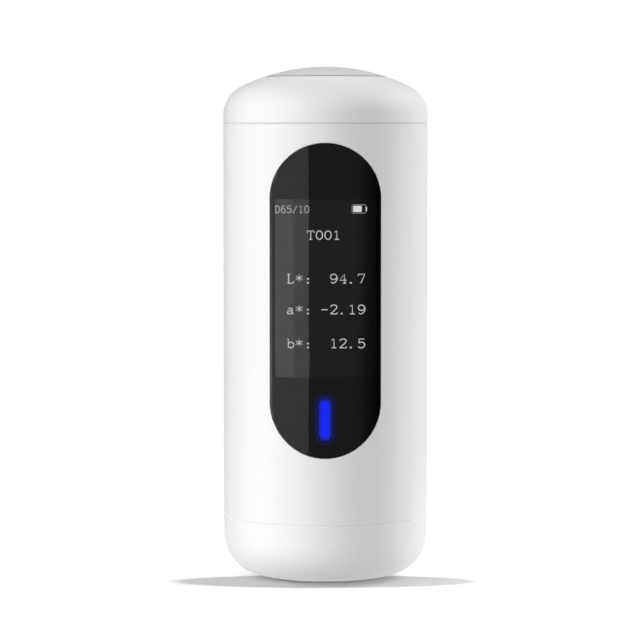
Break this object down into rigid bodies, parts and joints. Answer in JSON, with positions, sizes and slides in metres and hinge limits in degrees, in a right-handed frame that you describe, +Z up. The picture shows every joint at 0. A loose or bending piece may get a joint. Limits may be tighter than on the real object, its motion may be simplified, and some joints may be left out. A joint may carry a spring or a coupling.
{
  "type": "pocket colorimeter",
  "caption": "Pocket colour meter with a domed push-button top and a tall curved display, standing nose down in the calibration base that lifts off it.",
  "frame": {"origin": "on the bench, at the centre of the rubber foot", "axes": "+Z up along the housing to the top button, -Y out of the display, +X to the right of the display"},
  "size_m": [0.038, 0.038, 0.095],
  "materials": {
    "housing_white": "glossy moulded, faintly warm white",
    "button_grey": "satin warm grey",
    "smoked_lens": "clear cast acrylic, smoked, polished",
    "tape": "foam adhesive tape",
    "nose_black": "fine moulded texture",
    "chassis_grey": "moulded",
    "steel": "plain zinc plated",
    "socket_steel": "drawn and polished",
    "foot_rubber": "matt",
    "ring_rubber": "smooth",
    "pad_foam": "open foam",
    "tile_ceramic": "even white glaze",
    "window_clear": "polished",
    "lens_clear": "polished",
    "optic_black": "dead matt",
    "lamp_resin": "clear resin over a phosphor",
    "board_green": "solder mask",
    "chip_black": "moulded",
    "socket_cream": "moulded",
    "display_dark": "laminated panel",
    "bracket_grey": "moulded",
    "flex_amber": "polyimide film",
    "switch_grey": "moulded",
    "key_blue": "translucent, lit from behind",
    "lamp_blue": "clear resin",
    "cell_blue": "shrink film over a metal can",
    "lead_red": "insulated wire"
  },
  "bodies": {
    "base": {"foot_pad": "foot_rubber", "base_cup": "housing_white", "base_screws": "steel", "tile_holder": "nose_black", "tile_pad": "pad_foam", "white_tile": "tile_ceramic"},
    "instrument": {"main_shell": "housing_white", "panel_lens": "smoked_lens", "lens_tape": "tape", "top_cap": "housing_white", "switch_plate": "chassis_grey", "plate_screws": "steel", "switch_board": "board_green", "top_switch": "chip_black", "nose_housing": "nose_black", "nose_screws": "steel", "grip_ring": "ring_rubber", "window_glass": "window_clear", "optic_block": "optic_black", "optic_lamps": "lamp_resin", "lamp_board": "board_green", "board_spacer": "socket_cream", "sensor_lens": "lens_clear", "lens_sleeve": "optic_black", "sensor_board": "board_green", "colour_sensor": "chip_black", "chassis": "chassis_grey", "main_board": "board_green", "board_chips": "chip_black", "board_sockets": "socket_cream", "board_screws": "steel", "display_module": "display_dark", "display_bracket": "bracket_grey", "display_flex": "flex_amber", "key_guide": "optic_black", "key_switch": "switch_grey", "key_lamps": "lamp_blue", "usb_board": "board_green", "usb_socket": "socket_steel", "battery_cell": "cell_blue", "battery_guard": "board_green", "battery_leads": "lead_red"},
    "button": {"top_button": "button_grey", "top_plunger": "switch_grey", "button_spring": "steel"},
    "key": {"pill_key": "key_blue", "key_plunger": "switch_grey"}
  },
  "joints": [
    {"name": "lift_off", "type": "slide", "parent": "base", "child": "instrument", "axis": [0, 0, 1], "range_m": [0, 0.04]},
    {"name": "button_press", "type": "slide", "parent": "instrument", "child": "button", "axis": [0, 0, -1], "range_m": [0, 0.0008], "stiffness_N_per_m": 1500, "springref_m": -0.0006, "deforming": ["button_spring"]},
    {"name": "key_press", "type": "slide", "parent": "instrument", "child": "key", "axis": [0, 1, 0], "range_m": [0, 0.00035], "stiffness_N_per_m": 2000, "springref_m": -0.0003}
  ]
}
